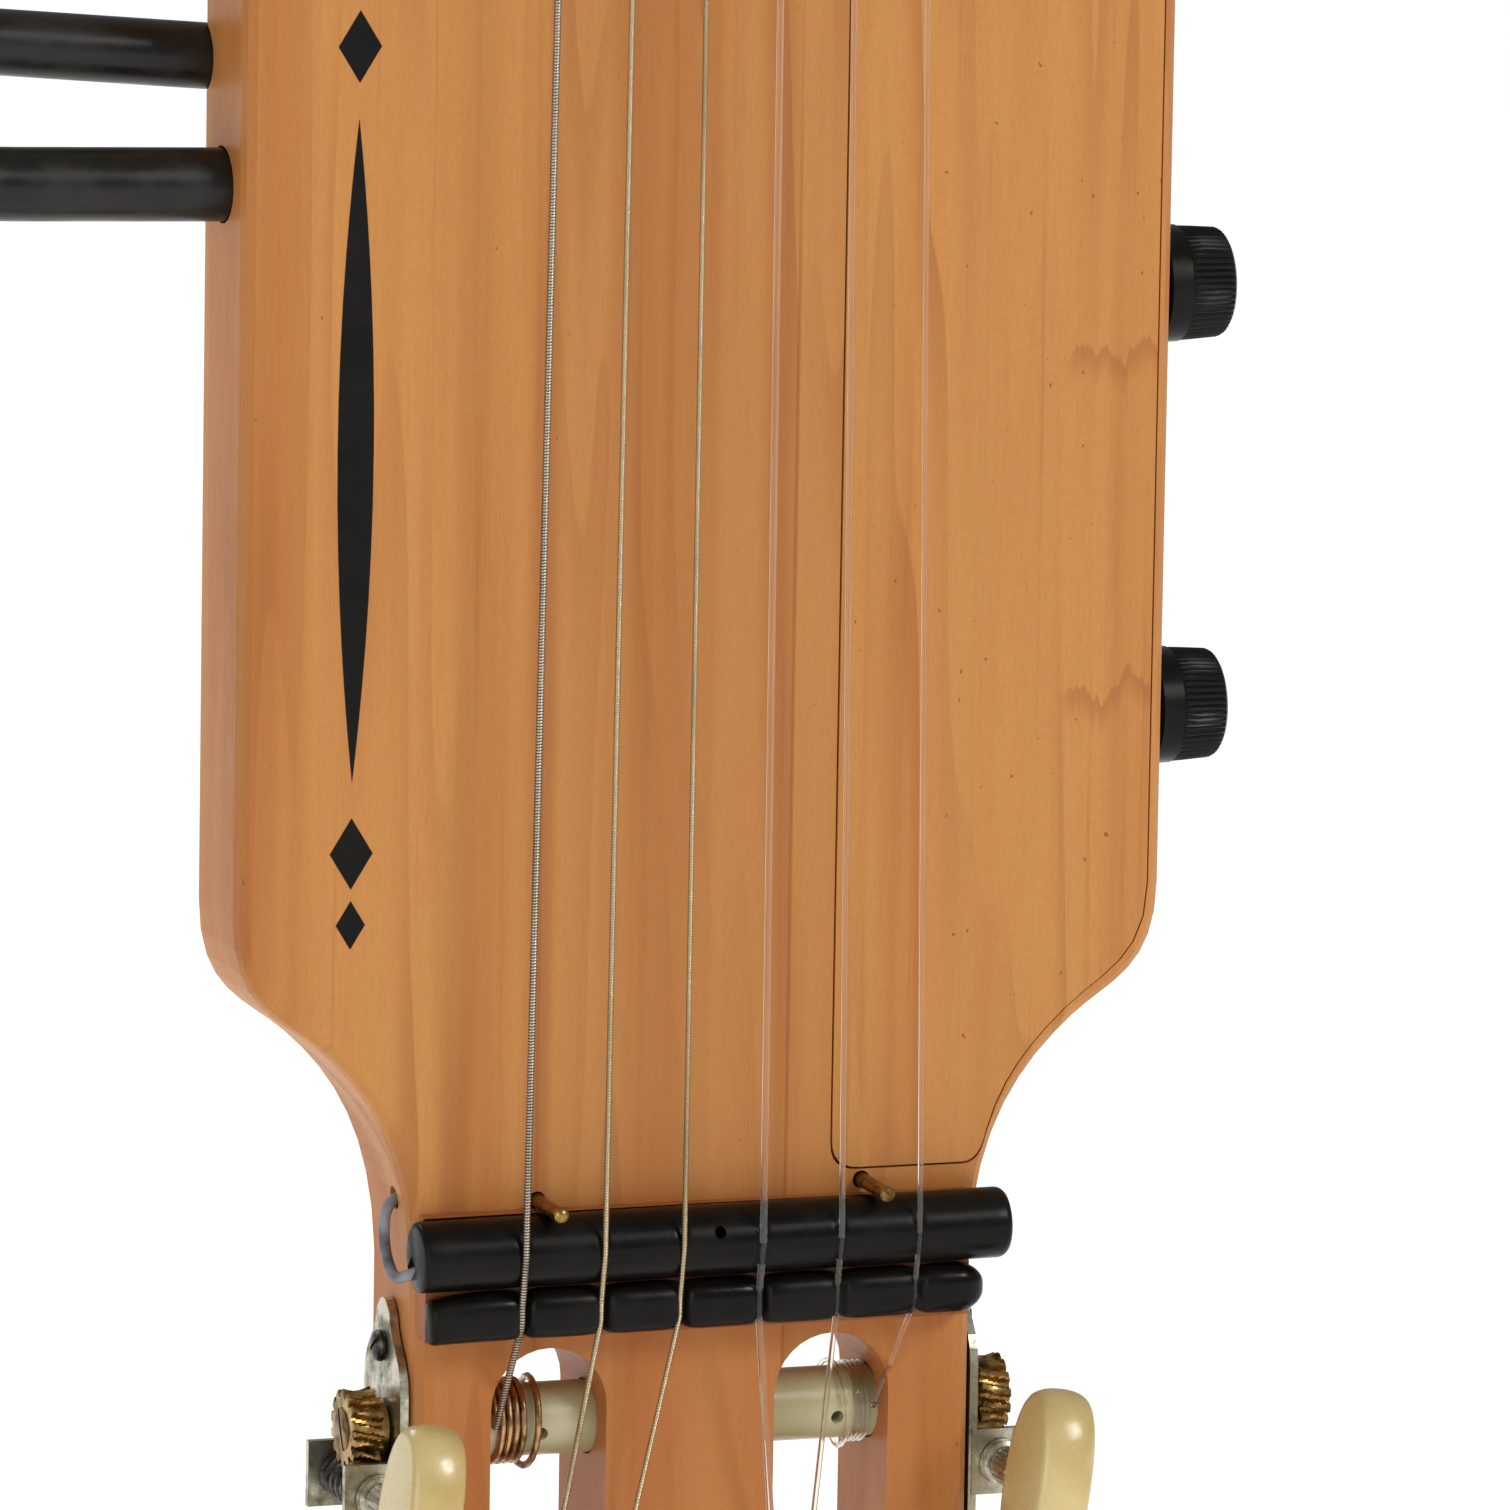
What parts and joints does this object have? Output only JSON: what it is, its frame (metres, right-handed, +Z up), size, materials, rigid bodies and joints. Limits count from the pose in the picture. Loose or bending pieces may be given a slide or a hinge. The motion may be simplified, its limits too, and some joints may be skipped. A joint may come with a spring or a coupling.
{
  "type": "headless nylon-string travel guitar",
  "caption": "Slim solid-body headless travel guitar with tail-mounted tuners in slots, round bridge, side knobs and pull-out tube frames.",
  "frame": {"origin": "centre of the flat tail end face", "axes": "+Z runs up the strings from the tail to the nut, the strings lie towards -Y, +X is the treble side"},
  "size_m": [0.2848, 0.0512, 0.816],
  "materials": {
    "maple": "satin lacquered maple, warm amber with red-brown streaks",
    "rosewood": "dark oiled fingerboard wood",
    "black_metal": "satin black round bar and tube",
    "black_plastic": "satin black plastic",
    "brass": "aged brass",
    "nickel": "dulled nickel plate",
    "dark_steel": "blackened steel",
    "cream_plastic": "polished cream plastic",
    "ivory_plastic": "yellowed ivory plastic",
    "clear_nylon": "clear nylon string",
    "wound_bronze": "bronze wire wound on the bass strings",
    "circuit_board": "green circuit board",
    "cable_grey": "grey cable sleeve"
  },
  "bodies": {
    "instrument": {"body": "maple", "neck": "maple", "fingerboard": "rosewood", "nut": "ivory_plastic", "string_anchor": "nickel", "bridge_plinth": "maple", "bridge_rod": "black_metal", "piezo_element": "cable_grey", "guide_bar": "black_plastic", "bridge_pin_bass": "brass", "bridge_pin_treble": "brass", "pickup_cable": "cable_grey", "electronics_cover": "maple", "preamp_board": "circuit_board", "battery": "dark_steel", "volume_pot": "nickel", "tone_pot": "nickel", "output_jack": "nickel", "tuner_plate_bass": "nickel", "plate_screw_bass_1": "dark_steel", "plate_screw_bass_2": "dark_steel", "plate_screw_bass_3": "dark_steel", "tuner_plate_treble": "nickel", "plate_screw_treble_1": "dark_steel", "plate_screw_treble_2": "dark_steel", "plate_screw_treble_3": "dark_steel", "string_6": "wound_bronze", "string_5": "wound_bronze", "string_4": "wound_bronze", "string_3": "clear_nylon", "string_2": "clear_nylon", "string_1": "clear_nylon"},
    "tuner_shaft_bass_1": {"worm_bass_1": "dark_steel", "button_bass_1": "cream_plastic"},
    "tuner_post_bass_1": {"post_bass_1": "ivory_plastic", "gear_bass_1": "brass"},
    "tuner_shaft_bass_2": {"worm_bass_2": "dark_steel", "button_bass_2": "cream_plastic"},
    "tuner_post_bass_2": {"post_bass_2": "ivory_plastic", "gear_bass_2": "brass"},
    "tuner_shaft_bass_3": {"worm_bass_3": "dark_steel", "button_bass_3": "cream_plastic"},
    "tuner_post_bass_3": {"post_bass_3": "ivory_plastic", "gear_bass_3": "brass"},
    "tuner_shaft_treble_1": {"worm_treble_1": "dark_steel", "button_treble_1": "cream_plastic"},
    "tuner_post_treble_1": {"post_treble_1": "ivory_plastic", "gear_treble_1": "brass"},
    "tuner_shaft_treble_2": {"worm_treble_2": "dark_steel", "button_treble_2": "cream_plastic"},
    "tuner_post_treble_2": {"post_treble_2": "ivory_plastic", "gear_treble_2": "brass"},
    "tuner_shaft_treble_3": {"worm_treble_3": "dark_steel", "button_treble_3": "cream_plastic"},
    "tuner_post_treble_3": {"post_treble_3": "ivory_plastic", "gear_treble_3": "brass"},
    "volume_knob": {"volume_knob": "black_plastic"},
    "tone_knob": {"tone_knob": "black_plastic"},
    "lower_frame": {"lower_frame": "black_metal"},
    "upper_frame": {"upper_frame": "black_metal"}
  },
  "joints": [
    {"name": "tuner_turn_bass_1", "type": "hinge", "parent": "instrument", "child": "tuner_shaft_bass_1", "pos_m": [-0.0467, 0, 0.0967], "axis": [0, 1, 0], "continuous": true},
    {"name": "post_turn_bass_1", "type": "hinge", "parent": "instrument", "child": "tuner_post_bass_1", "pos_m": [0, 0.0005, 0.1048], "axis": [1, 0, 0], "continuous": true},
    {"name": "tuner_turn_bass_2", "type": "hinge", "parent": "instrument", "child": "tuner_shaft_bass_2", "pos_m": [-0.0467, 0, 0.0617], "axis": [0, 1, 0], "continuous": true},
    {"name": "post_turn_bass_2", "type": "hinge", "parent": "instrument", "child": "tuner_post_bass_2", "pos_m": [0, 0.0005, 0.0698], "axis": [1, 0, 0], "continuous": true},
    {"name": "tuner_turn_bass_3", "type": "hinge", "parent": "instrument", "child": "tuner_shaft_bass_3", "pos_m": [-0.0467, 0, 0.0267], "axis": [0, 1, 0], "continuous": true},
    {"name": "post_turn_bass_3", "type": "hinge", "parent": "instrument", "child": "tuner_post_bass_3", "pos_m": [0, 0.0005, 0.0348], "axis": [1, 0, 0], "continuous": true},
    {"name": "tuner_turn_treble_1", "type": "hinge", "parent": "instrument", "child": "tuner_shaft_treble_1", "pos_m": [0.0457, 0, 0.0967], "axis": [0, 1, 0], "continuous": true},
    {"name": "post_turn_treble_1", "type": "hinge", "parent": "instrument", "child": "tuner_post_treble_1", "pos_m": [0, 0.0005, 0.1048], "axis": [1, 0, 0], "continuous": true},
    {"name": "tuner_turn_treble_2", "type": "hinge", "parent": "instrument", "child": "tuner_shaft_treble_2", "pos_m": [0.0457, 0, 0.0617], "axis": [0, 1, 0], "continuous": true},
    {"name": "post_turn_treble_2", "type": "hinge", "parent": "instrument", "child": "tuner_post_treble_2", "pos_m": [0, 0.0005, 0.0698], "axis": [1, 0, 0], "continuous": true},
    {"name": "tuner_turn_treble_3", "type": "hinge", "parent": "instrument", "child": "tuner_shaft_treble_3", "pos_m": [0.0457, 0, 0.0267], "axis": [0, 1, 0], "continuous": true},
    {"name": "post_turn_treble_3", "type": "hinge", "parent": "instrument", "child": "tuner_post_treble_3", "pos_m": [0, 0.0005, 0.0348], "axis": [1, 0, 0], "continuous": true},
    {"name": "volume_turn", "type": "hinge", "parent": "instrument", "child": "volume_knob", "pos_m": [0.07, 0.0015, 0.2625], "axis": [1, 0, 0], "range_deg": [-150, 150]},
    {"name": "tone_turn", "type": "hinge", "parent": "instrument", "child": "tone_knob", "pos_m": [0.07, 0.0015, 0.2025], "axis": [1, 0, 0], "range_deg": [-150, 150]},
    {"name": "lower_frame_pull", "type": "slide", "parent": "instrument", "child": "lower_frame", "axis": [-0.9996, 0, 0.0279], "range_m": [0, 0.03]},
    {"name": "upper_frame_pull", "type": "slide", "parent": "instrument", "child": "upper_frame", "axis": [-0.9962, 0, 0.0872], "range_m": [0, 0.03]}
  ],
  "couplings": [
    {"joint": "post_turn_bass_1", "follows": "tuner_turn_bass_1", "ratio": -0.071429},
    {"joint": "post_turn_bass_2", "follows": "tuner_turn_bass_2", "ratio": -0.071429},
    {"joint": "post_turn_bass_3", "follows": "tuner_turn_bass_3", "ratio": -0.071429},
    {"joint": "post_turn_treble_1", "follows": "tuner_turn_treble_1", "ratio": 0.071429},
    {"joint": "post_turn_treble_2", "follows": "tuner_turn_treble_2", "ratio": 0.071429},
    {"joint": "post_turn_treble_3", "follows": "tuner_turn_treble_3", "ratio": 0.071429}
  ]
}
